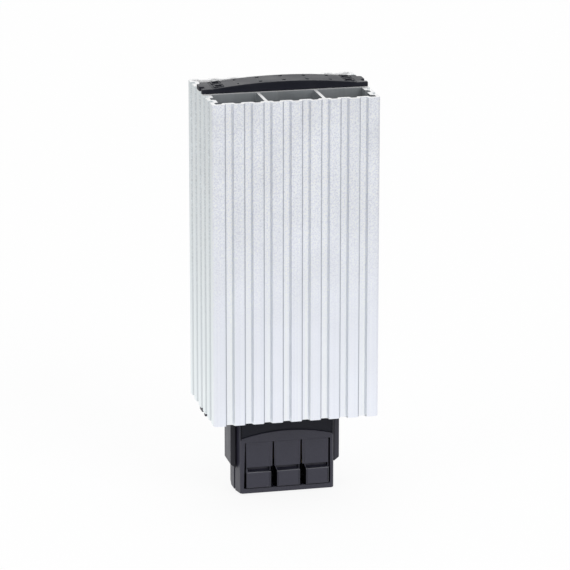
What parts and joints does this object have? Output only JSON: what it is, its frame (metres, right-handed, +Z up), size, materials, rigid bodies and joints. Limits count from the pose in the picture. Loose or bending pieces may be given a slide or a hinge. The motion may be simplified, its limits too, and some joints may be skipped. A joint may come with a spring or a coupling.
{
  "type": "enclosure heater",
  "caption": "Small convection heater for an equipment enclosure: corrugated aluminium body with open air channels, black end cap, lever terminal casing below and a rail clip behind.",
  "frame": {"origin": "centre of the mounting rail's front plane, half way up the extruded body", "axes": "+X along the rail, +Y back towards the rail, +Z up along the extruded body"},
  "size_m": [0.072, 0.0572, 0.182],
  "materials": {
    "anodised_aluminium": "matte natural anodised extrusion",
    "black_plastic": "fine moulded grain",
    "lever_plastic": "fine moulded grain",
    "spring_steel": "rolled strip",
    "zinc_steel": "zinc plated",
    "brass": "stamped strip",
    "heating_ceramic": "fired ceramic with metallised faces",
    "amber_film": "insulating film"
  },
  "bodies": {
    "heater": {"heater_profile": "anodised_aluminium", "top_cap": "black_plastic", "casing_base": "black_plastic", "casing_front": "black_plastic", "rail_clip": "spring_steel", "clip_screws": "zinc_steel", "earth_screw": "zinc_steel", "contact_bar_left": "brass", "contact_bar_middle": "brass", "earth_bar": "brass", "electrode_front": "brass", "electrode_rear": "brass", "insulating_sleeve": "amber_film", "pressure_spring": "spring_steel", "clamp_spring_left": "spring_steel", "clamp_spring_middle": "spring_steel", "clamp_spring_right": "spring_steel", "ptc_stone_lower": "heating_ceramic", "ptc_stone_middle": "heating_ceramic", "ptc_stone_upper": "heating_ceramic"},
    "press_left": {"lever_left": "lever_plastic"},
    "press_middle": {"lever_middle": "lever_plastic"},
    "press_right": {"lever_right": "lever_plastic"}
  },
  "joints": [
    {"name": "press_left_hinge", "type": "hinge", "parent": "heater", "child": "press_left", "pos_m": [-0.0124, -0.0352, -0.08435], "axis": [1, 0, 0], "range_deg": [0, 7], "stiffness_Nm_per_rad": 0.6},
    {"name": "press_middle_hinge", "type": "hinge", "parent": "heater", "child": "press_middle", "pos_m": [0, -0.0352, -0.08435], "axis": [1, 0, 0], "range_deg": [0, 7], "stiffness_Nm_per_rad": 0.6},
    {"name": "press_right_hinge", "type": "hinge", "parent": "heater", "child": "press_right", "pos_m": [0.0124, -0.0352, -0.08435], "axis": [1, 0, 0], "range_deg": [0, 7], "stiffness_Nm_per_rad": 0.6}
  ]
}
